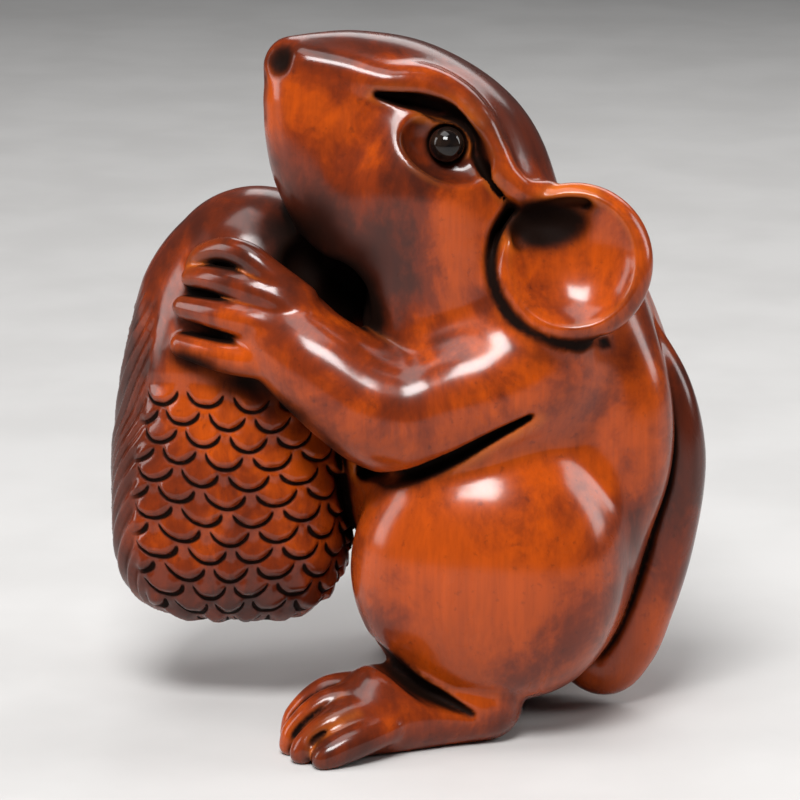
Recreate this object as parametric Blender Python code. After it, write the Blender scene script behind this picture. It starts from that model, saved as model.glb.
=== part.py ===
"""A carved netsuke: a mouse sits up and hugs a scaled fish, held head up, nearly as tall as itself.

Metres, +Z up. The mouse faces -Y and its left flank is +X. The carving is worked as clay: a grid
of depths, negative inside the wood, that rounded forms are added to and hollows are cut from. Its
pose and proportions count in shares, fiftieths of the figure's height, and the skin over the clay
is scaled to the real height at the end.
"""

import bpy
import numpy as np

# Driving dimensions
HEIGHT = 0.050
EYE_DIAMETER = 0.0025
EYE_GAP = 0.00025
EYE_SIDES = 16
CORD_HOLE = 0.0030
CORD_HOLE_SPACING = 0.0070

# How finely the clay is worked, in shares, how many faces its skin keeps, and how much more a
# face on the scales counts than one on a smooth stretch
GRAIN = 0.25
FACES = 8500
SCALES_KEEP = 3.0

# The figure, in shares of a fiftieth of its height
SHARES = 50.0
FAR = 9.0
REST = 0.3
CLAY_LOW = (-18.5, -23.0, -2.0)
CLAY_HIGH = (18.5, 24.0, 52.0)
HEAD_PIVOT = np.array([0.0, 9.0, 34.0])
HEAD_TURN = 21.0
HEAD_TILT = 3.0
HEAD_LOWEST = 24.0
FAR_FOOT_BACK = 4.6
FISH_BLEND = 0.4
HEAD_BLEND = 0.9
PASSAGE_BLEND = 0.2
SIDES = (1, -1)

# The fish's scales, in shares
SCALE_RADIUS = 1.36
SCALE_ACROSS = 3.45
SCALE_DOWN = 1.42
SCALE_RISE = 0.55
SCALE_SHADOW = 0.38
HAND_CUT = 0.22
FISH_GIRTH = 8.6
FISH_SLIM = 1.13
FIN_HALF_WIDTH = 6.9
SCALES_TOP = 26.6
SCALES_BEHIND = -5.0


def rotation(axis, degrees):
    """The matrix that turns about axis 0, 1 or 2."""
    angle = np.radians(degrees)
    first = (axis + 1) % 3
    second = (axis + 2) % 3
    matrix = np.eye(3)
    matrix[first, first] = matrix[second, second] = np.cos(angle)
    matrix[first, second] = -np.sin(angle)
    matrix[second, first] = np.sin(angle)
    return matrix


HEAD_SET = rotation(2, HEAD_TURN) @ rotation(1, -HEAD_TILT)


def smooth_path(rows, steps):
    """A rounded course through rows of any width, as a Catmull-Rom curve."""
    rows = np.asarray(rows, float)
    course = []
    padded = np.vstack([2 * rows[0] - rows[1], rows, 2 * rows[-1] - rows[-2]])
    for before, start, end, after in zip(padded, padded[1:], padded[2:], padded[3:]):
        for t in np.linspace(0, 1, steps, endpoint=False):
            bend = 2 * before - 5 * start + 4 * end - after
            twist = 3 * start - before - 3 * end + after
            course.append(start + 0.5 * ((end - before) * t + bend * t**2 + twist * t**3))
    return np.array(course + [rows[-1]])


def on_side(rows, side):
    """Rows drawn for the left flank, put on either flank."""
    rows = np.array(rows, float)
    rows[:, 0] *= side
    return rows


def lesser(first, second, soft):
    """The lesser of two depths, rounded where they meet."""
    if soft <= 0:
        return np.minimum(first, second)
    share = np.clip(0.5 + 0.5 * (second - first) / soft, 0, 1)
    return second + (first - second) * share - soft * share * (1 - share)


def ball(centre, radii, turn=None, power=2.0):
    """An ellipsoid, or with a higher power a squarer one: its corners and its depth function."""
    centre = np.asarray(centre, float)
    radii = np.asarray(radii, float)
    turn = np.eye(3) if turn is None else turn
    reach = np.sqrt(((turn * radii) ** 2).sum(1)) * (1.0 if power == 2.0 else 1.3)

    def depth(x, y, z):
        offset = (x - centre[0], y - centre[1], z - centre[2])
        own = [sum(turn[i, k] * offset[i] for i in range(3)) / radii[k] for k in range(3)]
        level = sum(np.abs(part) ** power for part in own) ** (1 / power)
        slope = sum((np.abs(part) ** (power - 1) / radii[k]) ** 2 for k, part in enumerate(own))
        slope = np.sqrt(slope) / np.maximum(level, 1e-6) ** (power - 1)
        return (level - 1) / np.maximum(slope, 1e-6)

    return centre - reach, centre + reach, depth


def limb(rows, steps=9, slim=1.0):
    """A round bar through rows of x, y, z and radius; slim narrows it from side to side."""
    rows = np.asarray(rows, float)
    course = smooth_path(rows, steps) if len(rows) > 2 and steps > 1 else rows
    low = (course[:, :3] - course[:, 3:]).min(0)
    high = (course[:, :3] + course[:, 3:]).max(0)

    def depth(x, y, z):
        nearest = np.full(np.broadcast(x, y, z).shape, FAR, np.float32)
        for start, end in zip(course[:-1], course[1:]):
            reach = max(start[3], end[3]) + 5.0
            near = []
            for axis, grid, scale in zip(range(3), (x, y, z), (slim, 1, 1)):
                line = grid.ravel() * scale
                first = np.searchsorted(line, min(start[axis], end[axis]) - reach)
                last = np.searchsorted(line, max(start[axis], end[axis]) + reach)
                near.append(slice(first, last))
            run = end - start
            length = max(float(run[:3] @ run[:3]), 1e-9)
            px = x[near[0]] * slim - start[0]
            py = y[:, near[1]] - start[1]
            pz = z[:, :, near[2]] - start[2]
            t = np.clip((px * run[0] + py * run[1] + pz * run[2]) / length, 0, 1)
            away = np.sqrt((px - t * run[0]) ** 2 + (py - t * run[1]) ** 2 + (pz - t * run[2]) ** 2)
            away = away - (start[3] + t * run[3])
            nearest[tuple(near)] = np.minimum(nearest[tuple(near)], away)
        return nearest

    return low, high, depth


class Clay:
    """A block of depths on a regular grid, negative inside the form."""

    def __init__(self, low, high, grain):
        self.grain = grain
        self.axes = [np.arange(a, b, grain, dtype=np.float32) for a, b in zip(low, high)]
        self.depth = np.full([len(axis) for axis in self.axes], FAR, np.float32)

    def window(self, low, high, margin):
        """The slices of the grid around a form, and their coordinates."""
        part = tuple(
            slice(max(0, np.searchsorted(axis, a - margin) - 1), np.searchsorted(axis, b + margin) + 1)
            for axis, a, b in zip(self.axes, low, high)
        )
        grid = np.meshgrid(*[axis[s] for axis, s in zip(self.axes, part)], indexing="ij", sparse=True)
        return part, grid

    def add(self, form, soft=0.0):
        low, high, depth = form
        part, grid = self.window(low, high, soft + 1.6)
        self.depth[part] = lesser(self.depth[part], depth(*grid), soft)

    def cut(self, form, soft=0.0):
        low, high, depth = form
        part, grid = self.window(low, high, soft + 1.6)
        self.depth[part] = -lesser(-self.depth[part], depth(*grid), soft)

    def groove(self, rows, side, deep, soft=0.3):
        """Cuts a groove of some depth straight into one flank, along rows on it."""
        for sink in np.arange(0.0, deep + 0.01, 0.4):
            course = np.array(rows, float)
            course[:, 0] -= side * sink
            course[:, 3] *= 1 - 0.25 * sink / max(deep, 0.4)
            self.cut(limb(course, 1), soft)

    def depth_at(self, points):
        """Depths between the grid's points."""
        points = np.asarray(points, np.float32)
        cells = []
        shares = []
        for k, axis in enumerate(self.axes):
            place = (points[..., k] - axis[0]) / np.float32(self.grain)
            cell = np.clip(np.floor(place).astype(np.int32), 0, len(axis) - 2)
            cells.append(cell)
            shares.append(np.clip(place - cell, 0, 1))
        total = 0
        for corner in np.ndindex(2, 2, 2):
            weight = 1
            for share, end in zip(shares, corner):
                weight = weight * (share if end else 1 - share)
            total = total + weight * self.depth[tuple(cell + end for cell, end in zip(cells, corner))]
        return total

    def laid(self, rows, side, steps=6):
        """Rows of y, z, lift and radius as a course that lies on one flank of the form."""
        course = []
        reach = np.arange(16.0, 0.0, -self.grain / 2)
        for y, z, lift, radius in smooth_path(rows, steps):
            line = np.column_stack([side * reach, np.full(len(reach), y), np.full(len(reach), z)])
            inside = self.depth_at(line) < 0
            x = reach[np.argmax(inside)] if inside.any() else 0.0
            course.append([side * (x + lift), y, z, radius])
        return np.array(course)

    def join(self, other, soft):
        """Adds another block's form."""
        self.depth = lesser(self.depth, other.depth, soft)

    def join_turned(self, other, soft, turn, pivot, lowest):
        """Adds another block's form, turned about a pivot, level by level from the lowest."""
        first = int(np.searchsorted(self.axes[2], lowest))
        flat = np.stack(np.meshgrid(self.axes[0], self.axes[1], indexing="ij"), -1)
        for level in range(first, len(self.axes[2])):
            points = np.concatenate([flat, np.full(flat.shape[:2] + (1,), self.axes[2][level])], -1)
            own = (points - pivot) @ turn + pivot
            self.depth[:, :, level] = lesser(self.depth[:, :, level], other.depth_at(own), soft)

    def smooth_over(self):
        """Evens out the depths between neighbours, which takes away specks finer than the grain."""
        for axis in range(3):
            beside = np.roll(self.depth, 1, axis) + np.roll(self.depth, -1, axis)
            self.depth = (beside + 2 * self.depth) / 4

    def skin(self):
        """Points and four-sided faces over the form, one point in each cell that it crosses."""
        inside = self.depth < 0
        cells = np.array(self.depth.shape) - 1
        corners = list(np.ndindex(2, 2, 2))
        filled = sum(inside[tuple(slice(c, c + n) for c, n in zip(corner, cells))].astype(int)
                     for corner in corners)
        where = np.argwhere((filled > 0) & (filled < 8))
        number = np.full(cells, -1)
        number[tuple(where.T)] = np.arange(len(where))
        total = np.zeros((len(where), 3))
        crossings = np.zeros((len(where), 1))
        for axis in range(3):
            for corner in corners:
                if corner[axis]:
                    continue
                start = where + corner
                end = start + np.eye(3, dtype=int)[axis]
                here = self.depth[tuple(start.T)]
                there = self.depth[tuple(end.T)]
                crossed = (here < 0) != (there < 0)
                share = np.where(crossed, here / np.where(crossed, here - there, 1), 0)
                total += (start + np.eye(3)[axis] * share[:, None]) * crossed[:, None]
                crossings += crossed[:, None]
        points = total / crossings * self.grain + [axis[0] for axis in self.axes]
        return self.settled(points), self.faces_between(inside, number)

    def settled(self, points):
        """Points moved along the form's slope onto its surface."""
        reach = self.grain / 2
        for _ in range(2):
            slope = np.column_stack([
                (self.depth_at(points + side) - self.depth_at(points - side)) / (2 * reach)
                for side in np.eye(3) * reach
            ])
            steep = np.maximum((slope**2).sum(1), 0.1)
            move = -slope * (self.depth_at(points) / steep)[:, None]
            length = np.linalg.norm(move, axis=1) / reach
            points = points + move / np.maximum(length, 1)[:, None]
        return points

    @staticmethod
    def faces_between(inside, number):
        """A face across each grid line that passes from inside the form to outside."""
        faces = []
        for axis in range(3):
            first = (axis + 1) % 3
            second = (axis + 2) % 3
            near = [slice(1, size - 1) for size in inside.shape]
            near[axis] = slice(0, inside.shape[axis] - 1)
            far = list(near)
            far[axis] = slice(1, inside.shape[axis])
            here = inside[tuple(near)]
            line = np.argwhere(here != inside[tuple(far)])
            outward = here[tuple(line.T)]
            line[:, [first, second]] += 1
            ring = []
            for step in ((-1, -1), (0, -1), (0, 0), (-1, 0)):
                cell = line.copy()
                cell[:, first] += step[0]
                cell[:, second] += step[1]
                ring.append(number[tuple(cell.T)])
            face = np.column_stack(ring)
            face[~outward] = face[~outward][:, ::-1]
            faces.append(face)
        return np.vstack(faces)


def new_clay(grain):
    return Clay(CLAY_LOW, CLAY_HIGH, grain)


def shape_body(clay):
    """Rump, back, shoulders and belly, with a thigh on each flank."""
    clay.add(ball((0, 7.2, 15.3), (10.8, 9.9, 15.0)))
    clay.add(ball((0, 9.0, 27.5), (9.4, 9.2, 10.0)), 3.0)
    clay.add(limb([[0, 11.0, 9.0, 5.6], [0, 11.8, 18.0, 6.2], [0, 11.2, 28.0, 6.3]]), 2.0)
    clay.add(ball((0, 2.0, 20.0), (8.0, 6.5, 9.0)), 2.5)
    beside_tail = [[3.0, 14.2, 29.8, 3.4], [3.4, 16.0, 25.0, 3.8], [3.4, 16.1, 20.0, 4.0],
                   [3.4, 14.6, 15.0, 3.9], [3.2, 12.6, 10.0, 3.5]]
    for side in SIDES:
        clay.add(limb(on_side(beside_tail, side)), 2.0)
        clay.add(ball((side * 6.2, 10.0, 12.2), (7.0, 6.9, 9.2)), 2.5)
        clay.add(ball((side * 8.0, 6.9, 12.6), (6.2, 9.6, 9.6)), 1.3)


def shape_tail(clay):
    """The tail comes from under the rump and lies up the back, tapering to the shoulders."""
    tail = np.array([
        [0, 11.5, 6.0, 2.1], [0, 14.9, 3.3, 2.3], [0, 16.7, 4.8, 2.35], [0, 17.9, 7.8, 2.35],
        [0, 19.2, 12.0, 2.3], [0, 20.1, 17.0, 2.25], [0, 20.2, 20.5, 2.1], [-0.1, 19.4, 24.2, 1.9],
        [-0.5, 17.8, 27.3, 1.7], [-1.4, 15.9, 30.3, 1.4], [-2.8, 13.6, 32.8, 1.0],
    ])
    for side in SIDES:
        valley = tail[2:].copy()
        valley[:, 0] += side * (valley[:, 3] + 0.1)
        valley[:, 1] -= 0.5
        valley[:, 3] *= np.linspace(0.25, 0.12, len(valley))
        clay.cut(limb(valley), 0.5)
    clay.add(limb(tail), 0.25)


def shape_foot(clay, side):
    """A long foot set down flat, with four toes; the far one stands further back."""
    back = np.array([0, 0 if side > 0 else FAR_FOOT_BACK, 0, 0])
    sole = np.array([[8.8, 7.0, 2.9, 2.8], [10.2, 4.0, 2.4, 2.4],
                     [11.8, 0.6, 2.4, 2.6], [13.0, -2.2, 2.2, 2.6]])
    instep = np.array([[9.4, 3.0, 4.2, 2.4], [11.4, -0.6, 3.6, 2.6]])
    ankle = np.array([[9.2, -2.4, 7.2, 0.5], [10.6, -1.0, 6.9, 0.55], [12.0, 1.2, 5.6, 0.5],
                      [12.8, 3.8, 4.1, 0.4], [13.2, 6.4, 2.9, 0.2]])
    toes = np.array([
        [[10.4, -1.2, 4.2, 1.3], [11.2, -4.0, 3.9, 1.3], [11.8, -5.9, 2.4, 1.15], [12.0, -6.5, 1.2, 0.9]],
        [[12.0, -0.9, 4.0, 1.3], [13.1, -3.8, 3.5, 1.3], [13.9, -5.7, 2.0, 1.15], [14.1, -6.3, 1.0, 0.9]],
        [[13.4, -0.5, 3.3, 1.3], [14.8, -3.0, 2.7, 1.3], [15.6, -4.7, 1.6, 1.15], [15.9, -5.3, 1.0, 0.9]],
        [[13.9, 0.6, 2.4, 1.2], [15.6, -1.4, 1.9, 1.25], [16.6, -3.0, 1.3, 1.1], [17.0, -3.6, 1.0, 0.9]],
    ])
    clay.add(limb(on_side(sole + back, side)), 0.6)
    clay.add(limb(on_side(instep + back, side)), 0.8)
    clay.groove(smooth_path(on_side(ankle + back, side), 6), side, 1.6, 0.5)
    for toe in toes:
        clay.add(limb(on_side(toe + back, side)), 0.3)
    for toe, neighbour in zip(toes[:-1], toes[1:]):
        gap = (toe + neighbour) / 2 + back
        gap[0] = (gap[0] + 2 * gap[1]) / 3
        gap[:, 2] += 1.0
        gap[:, 3] = [0.1, 0.2, 0.3, 0.3]
        clay.cut(limb(on_side(gap, side)), 0.4)


def scale_relief(across, down):
    """How far the wood rises at a place on the fish's skin, in rows of overlapping scales."""
    rise = np.zeros(np.broadcast(across, down).shape)
    shadow = np.zeros(rise.shape)
    found = np.zeros(rise.shape, bool)
    first = np.ceil((down - SCALE_RADIUS) / SCALE_DOWN)
    for row in (first + step for step in range(-2, 4)):
        offset = across - np.mod(row, 2) * SCALE_ACROSS / 2 + SCALE_ACROSS / 2
        from_middle = np.abs(np.mod(offset, SCALE_ACROSS) - SCALE_ACROSS / 2)
        below = down - row * SCALE_DOWN
        edge = np.where(below > 0, np.hypot(from_middle, below), from_middle) - SCALE_RADIUS
        real = (row >= 1) & ~found
        covers = real & (edge < 0)
        lift = np.clip(below / SCALE_RADIUS + 0.15, 0, 1)
        rise = np.where(covers, lift, rise)
        width = SCALE_SHADOW * np.clip((below / SCALE_RADIUS - 0.2) / 0.6, 0, 1) ** 0.7
        line = np.clip(1.5 - 1.5 * edge / np.maximum(width, 0.01), 0, 1) * (width > 0.02)
        shadow = np.maximum(shadow, np.where(real & ~covers, line, 0))
        found |= covers
    return rise - 0.5 - 0.9 * shadow


def shape_fish(clay):
    """A stout fish held head up: a smooth crown, scaled flanks and a rayed fin down its front."""
    clay.add(limb([[0, -12.5, 15.0, 8.3], [0, -12.2, 18.0, 9.1], [0, -11.8, 23.5, 9.0],
                   [0, -11.2, 28.5, 8.3], [0, -10.4, 31.4, 7.1]], slim=FISH_SLIM))
    clay.add(ball((0, -12.4, 15.6), (7.5, 8.9, 9.2), power=3.2), 0.6)
    part, (x, y, z) = clay.window((-9, -22.5, 4), (9, -1, 34), 0)
    across, down, scaled, gouged = fish_skin(x, y, z)
    relief = scaled * scale_relief(across, down) - 1.1 * gouged
    near = np.exp(-(clay.depth[part] / 1.2) ** 2)
    clay.depth[part] -= SCALE_RISE * relief * near


def fish_skin(x, y, z):
    """Places around and down the fish's skin, and how much of each is scales or a gouge of the fin."""
    across = np.arctan2(x * FISH_SLIM, -(y + 12.0)) * FISH_GIRTH
    down = SCALES_TOP - z
    flank = np.clip((np.abs(across) - FIN_HALF_WIDTH + 0.2) / 0.8, 0, 1)
    uneven_across = across + HAND_CUT * np.sin(0.5 * down + 0.3 * across)
    uneven_down = down + HAND_CUT * np.sin(0.55 * across + 0.2 * down + 1.0)
    scaled = flank * np.clip((uneven_down - 0.6) / 1.2, 0, 1)
    ray = 0.8 * np.abs(uneven_across) + 0.5 * uneven_down + 0.3 * np.sin(0.9 * across + 0.35 * down)
    gouged = (1 - flank) * np.clip((uneven_down + 5) / 3, 0, 1) * np.cos(np.pi * ray) ** 2
    return uneven_across, uneven_down, scaled, gouged


def shape_head(clay):
    """The head as it looks straight ahead: a raised muzzle, cheeks, brows and eye sockets."""
    clay.add(limb([[0, -7.9, 48.2, 2.1], [0, -5.6, 46.9, 3.6], [0, -3.2, 45.8, 4.7],
                   [0, 0, 43.7, 6.1], [0, 2.8, 40.3, 7.4], [0, 3.6, 36.3, 8.2]]))
    clay.add(limb([[0, -7.0, 45.4, 3.0], [0, -6.0, 43.4, 3.9], [0, -4.9, 40.8, 4.4],
                   [0, -1.8, 37.6, 5.6], [0, 2.0, 34.4, 6.8]]), 1.2)
    for side in SIDES:
        clay.add(ball((side * 3.3, 0.6, 39.8), (4.9, 5.6, 5.6)), 2.0)
    brow = [[-7.6, 48.7, -0.8, 0.9], [-4.7, 48.0, -0.8, 1.1], [-2.3, 47.2, -0.5, 1.3],
            [0.3, 47.0, -0.4, 1.4], [2.5, 45.9, -0.3, 1.4], [3.9, 44.2, -0.2, 1.3],
            [4.6, 42.4, -0.1, 1.25], [5.4, 40.7, 0.3, 1.1], [6.8, 39.5, 1.0, 1.0],
            [8.4, 39.3, 2.0, 0.9]]
    under_brow = [[-3.1, 46.5, 0.2, 0.2], [-1.2, 46.1, -0.1, 0.5], [0.6, 45.6, -0.2, 0.65],
                  [2.0, 44.9, -0.2, 0.65], [3.1, 43.6, -0.2, 0.5], [3.7, 41.9, -0.2, 0.4],
                  [4.5, 40.3, -0.1, 0.33], [5.6, 39.1, 0.0, 0.3]]
    for side in SIDES:
        ridge = clay.laid(brow, side)
        trench = clay.laid(under_brow, side)
        clay.add(limb(ridge, 1), 0.9)
        clay.groove(trench, side, 0.8)
        eye = eye_place(side)
        socket = rotation(2, -side * 22) @ rotation(0, -24)
        clay.cut(ball(eye + socket @ (side * 1.3, 0.3, 0), (1.9, 3.5, 2.3), socket), 0.35)
        clay.add(ball(eye - socket @ (side * 1.0, 0, 0), (1.6, 1.8, 1.7), socket), 0.25)
        clay.cut(ball((side * 1.5, -9.3, 48.8), (0.7, 0.8, 0.9)), 0.9)
    clay.cut(limb([[0, -10.3, 47.4, 0.35], [0, -10.45, 46.0, 0.3], [0, -10.4, 44.6, 0.3]]), 0.4)
    for side in SIDES:
        shape_ear(clay, side)


def eye_place(side):
    """The middle of an eye, with the head looking straight ahead."""
    return np.array([side * 6.4, 1.55, 42.95])


def shape_ear(clay, side):
    """A round dish with a rolled rim, which the brow runs into, and a dark way in under its top."""
    centre = np.array([side * 10.3, 9.6, 34.8])
    facing = np.array([side * 0.92, -0.34, 0.2])
    facing /= np.linalg.norm(facing)
    up = np.array([0, 0, 1.0]) - facing * facing[2]
    up /= np.linalg.norm(up)
    fore = side * np.cross(facing, up)
    turn = np.column_stack([up, np.cross(facing, up), facing])

    def around(angles, reach, lift, radius):
        """Rows around the ear, from its front at 0 degrees to its top at 90."""
        rows = []
        for angle in np.radians(angles):
            place = centre + reach * (np.cos(angle) * fore + np.sin(angle) * up) + lift * facing
            rows.append([*place, radius])
        return rows

    clay.cut(limb(around(range(-120, 21, 20), 5.8, -0.9, 0.55)), 0.5)
    clay.add(ball(centre - 2.6 * facing + 1.8 * fore + 1.2 * up, (3.9, 4.4, 2.8), turn), 0.6)
    clay.add(ball(centre - 0.5 * facing, (5.6, 5.5, 2.3), turn), 0.12)
    clay.cut(ball(centre + 2.1 * facing + 0.1 * fore, (5.05, 4.95, 3.2), turn), 0.3)
    clay.cut(ball(centre + 0.2 * facing + 1.9 * fore + 2.6 * up, (1.2, 2.4, 1.6), turn), 1.0)
    clay.cut(limb(around(range(20, 101, 20), 4.2, -0.2, 0.4)), 0.7)


def shape_arm(clay, side):
    """An arm folded at the elbow, its hand spread over the fish in four fingers."""
    upper = [[6.4, 10.0, 27.4, 5.2], [8.2, 6.2, 25.6, 5.0], [9.2, 2.4, 24.3, 4.3], [9.5, 0.2, 24.3, 4.0]]
    fore = [[9.4, 0.8, 24.2, 4.1], [9.6, -1.6, 25.2, 4.1], [9.1, -4.6, 27.3, 3.8],
            [8.2, -6.7, 28.7, 3.5], [7.6, -8.3, 29.5, 2.9]]
    crease = [[-2.0, 19.0, 0.0, 0.5], [0.2, 19.8, 0.0, 0.55], [2.6, 20.6, 0.0, 0.5],
              [5.2, 21.9, 0.0, 0.4], [7.8, 23.4, 0.05, 0.28], [10.4, 24.7, 0.1, 0.12]]
    fingers = [
        [[8.4, -6.1, 32.0, 1.2], [8.6, -8.3, 33.8, 1.1], [8.2, -9.9, 35.0, 1.0], [7.2, -11.7, 35.3, 0.9],
         [6.1, -13.4, 34.7, 0.8], [5.4, -14.2, 33.8, 0.7]],
        [[9.0, -6.0, 31.0, 1.3], [9.0, -8.0, 32.2, 1.25], [8.6, -10.3, 32.9, 1.1], [7.6, -12.4, 33.2, 0.95],
         [6.2, -14.3, 33.0, 0.8]],
        [[9.4, -6.3, 29.6, 1.4], [9.3, -8.8, 30.4, 1.35], [8.7, -11.5, 30.8, 1.15],
         [6.9, -14.8, 31.0, 0.85]],
        [[9.4, -6.0, 27.9, 1.4], [9.4, -8.4, 27.8, 1.35], [8.9, -11.5, 27.9, 1.2],
         [7.3, -14.9, 28.3, 0.9]],
    ]
    clay.add(ball((side * 6.0, 2.0, 29.3), (3.4, 3.2, 3.2)), 2.5)
    clay.add(limb(on_side([[5.0, 3.0, 31.2, 3.2], [5.6, 7.5, 31.6, 3.6]], side)), 3.0)
    clay.add(limb(on_side(upper, side)), 2.0)
    clay.add(limb(on_side(fore, side)), 1.2)
    clay.groove(clay.laid(crease, side), side, 1.6, 0.45)
    clay.add(ball((side * 7.6, -7.6, 29.9), (2.3, 3.6, 3.2), rotation(0, -20)), 0.8)
    for finger in fingers:
        clay.add(limb(on_side(finger, side)), 0.3)


def shape_throat(clay):
    """The dark hollow on each flank between chin, chest, forearm and fish."""
    clay.add(ball((0, -4.0, 31.5), (2.6, 3.5, 5.0)), 0.5)
    for side in SIDES:
        gap = [[5.0, -6.0, 34.0, 1.8], [6.0, -3.8, 32.6, 2.1],
               [6.8, -1.8, 31.0, 1.6], [7.4, -0.2, 29.4, 0.7]]
        clay.cut(limb(on_side(gap, side)), 0.6)
        clay.cut(ball((side * 5.9, -3.4, 31.8), (3.9, 2.0, 3.0)), 0.8)


def shape_cord_passage(clay, share):
    """Two holes under the rump, joined inside, for the cord that a netsuke hangs by."""
    reach = CORD_HOLE_SPACING / 2 / share
    bore = CORD_HOLE / 2 / share
    rows = [[-reach, 6.5, -1.0, bore], [-reach, 6.5, 1.6, bore], [0, 6.5, 4.6, bore],
            [reach, 6.5, 1.6, bore], [reach, 6.5, -1.0, bore]]
    clay.cut(limb(rows), PASSAGE_BLEND)


def carved(grain):
    """The whole carving as clay, in shares."""
    clay = new_clay(grain)
    shape_body(clay)
    shape_tail(clay)
    for side in SIDES:
        shape_foot(clay, side)
    fish = new_clay(grain)
    shape_fish(fish)
    clay.join(fish, FISH_BLEND)
    head = new_clay(grain)
    shape_head(head)
    clay.join_turned(head, HEAD_BLEND, HEAD_SET, HEAD_PIVOT, HEAD_LOWEST)
    shape_throat(clay)
    for side in SIDES:
        shape_arm(clay, side)
    shape_cord_passage(clay, HEIGHT / SHARES)
    return clay


def material(name, colour, roughness):
    """A plain surface with the piece's colour."""
    made = bpy.data.materials.new(name)
    made.use_nodes = True
    surface = made.node_tree.nodes["Principled BSDF"]
    surface.inputs["Base Color"].default_value = (*colour, 1)
    surface.inputs["Roughness"].default_value = roughness
    surface.inputs["Metallic"].default_value = 0.0
    return made


def placed(name, mesh, finish):
    """A named object in the scene, smooth but for its sharp edges."""
    mesh.materials.clear()
    mesh.materials.append(finish)
    mesh.shade_smooth()
    made = bpy.data.objects.new(name, mesh)
    bpy.context.scene.collection.objects.link(made)
    return made


def evaluated(source):
    """The mesh that an object's modifiers give."""
    depsgraph = bpy.context.evaluated_depsgraph_get()
    return bpy.data.meshes.new_from_object(source.evaluated_get(depsgraph))


def simplified(mesh, faces):
    """The same form as one clean skin with fewer faces, more of them kept on the scales."""
    source = bpy.data.objects.new("fine_skin", mesh)
    bpy.context.scene.collection.objects.link(source)
    clean = source.modifiers.new("One clean skin", "REMESH")
    clean.mode = "VOXEL"
    clean.voxel_size = GRAIN
    source.data = evaluated(source)
    source.modifiers.remove(clean)
    smooth = source.vertex_groups.new(name="smooth")
    for vertex in source.data.vertices:
        scaled = vertex.co.y < SCALES_BEHIND and vertex.co.z < SCALES_TOP
        smooth.add([vertex.index], 0.5 if scaled else 1.0, "REPLACE")
    fewer = source.modifiers.new("Fewer faces", "DECIMATE")
    fewer.ratio = faces / (2 * len(source.data.polygons))
    fewer.vertex_group = smooth.name
    fewer.vertex_group_factor = SCALES_KEEP
    result = evaluated(source)
    bpy.data.objects.remove(source)
    return result


def new_ball(name, centre, radius):
    """A faceted ball."""
    bpy.ops.mesh.primitive_uv_sphere_add(
        segments=EYE_SIDES, ring_count=EYE_SIDES // 2, radius=radius, location=centre)
    made = bpy.context.active_object
    made.name = name
    return made


def cut_away(piece, tool):
    """Cuts an object out of a piece, and keeps it as a hidden tool."""
    tool.hide_render = True
    tool.display_type = "WIRE"
    away = piece.modifiers.new(f"Cut by {tool.name}", "BOOLEAN")
    away.operation = "DIFFERENCE"
    away.object = tool


def main():
    for old in list(bpy.data.objects):
        bpy.data.objects.remove(old)
    wood = material("stained_boxwood", (0.42, 0.11, 0.025), 0.28)
    horn = material("black_horn", (0.012, 0.010, 0.010), 0.08)

    clay = carved(GRAIN)
    clay.smooth_over()
    points, faces = clay.skin()
    fine = bpy.data.meshes.new("carving")
    fine.from_pydata(points, [], faces)
    mesh = simplified(fine, FACES)
    corners = np.array([vertex.co for vertex in mesh.vertices])
    share = HEIGHT / (corners[:, 2].max() - REST)
    middle = (corners.min(0) + corners.max(0)) / 2 * share
    origin = np.array([middle[0], middle[1], REST * share])
    for vertex, corner in zip(mesh.vertices, corners):
        vertex.co = corner * share - origin
    carving = placed("carving", mesh, wood)

    bpy.ops.mesh.primitive_cube_add(size=2 * HEIGHT, location=(0, 0, -HEIGHT))
    ground = bpy.context.active_object
    ground.name = "ground"
    cut_away(carving, ground)

    for side, name in zip(SIDES, ("eye_left", "eye_right")):
        straight = eye_place(side) - HEAD_PIVOT
        centre = (HEAD_PIVOT + HEAD_SET @ straight) * share - origin
        cut_away(carving, new_ball(f"{name}_socket", centre, EYE_DIAMETER / 2 + EYE_GAP))
        bead = new_ball(name, centre, EYE_DIAMETER / 2)
        bead.data.materials.append(horn)
        bead.data.shade_smooth()


main()
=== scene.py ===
"""The netsuke dressed: the carving's fine skin, its stained and polished wood, eyes, floor and light.

The carving is worked as clay, a grid of depths that rounded forms are added to and hollows are cut
from, in shares of a fiftieth of the height. Its skin is then laid in the box of the solid carving.
"""

import bpy
import numpy as np
from mathutils import Matrix, Vector


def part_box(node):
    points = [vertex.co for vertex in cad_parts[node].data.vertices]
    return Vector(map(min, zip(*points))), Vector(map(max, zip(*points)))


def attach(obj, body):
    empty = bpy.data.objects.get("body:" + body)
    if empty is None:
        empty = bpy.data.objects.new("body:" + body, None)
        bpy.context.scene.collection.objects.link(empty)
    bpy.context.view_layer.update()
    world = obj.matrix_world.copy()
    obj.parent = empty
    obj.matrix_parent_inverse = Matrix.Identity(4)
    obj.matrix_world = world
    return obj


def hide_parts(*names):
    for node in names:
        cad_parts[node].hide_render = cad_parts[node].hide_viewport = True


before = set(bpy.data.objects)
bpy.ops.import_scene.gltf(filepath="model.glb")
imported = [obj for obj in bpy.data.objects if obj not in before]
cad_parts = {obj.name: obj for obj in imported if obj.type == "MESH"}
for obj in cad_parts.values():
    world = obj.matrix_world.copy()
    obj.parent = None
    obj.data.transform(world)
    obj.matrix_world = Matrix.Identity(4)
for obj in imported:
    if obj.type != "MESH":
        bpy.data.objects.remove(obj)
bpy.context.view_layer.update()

# How finely the clay is worked and how far its depths reach, in shares; the faces that the skin keeps
GRAIN = 0.2
FAR = 9.0
FORM_MARGIN = 1.6
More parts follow.
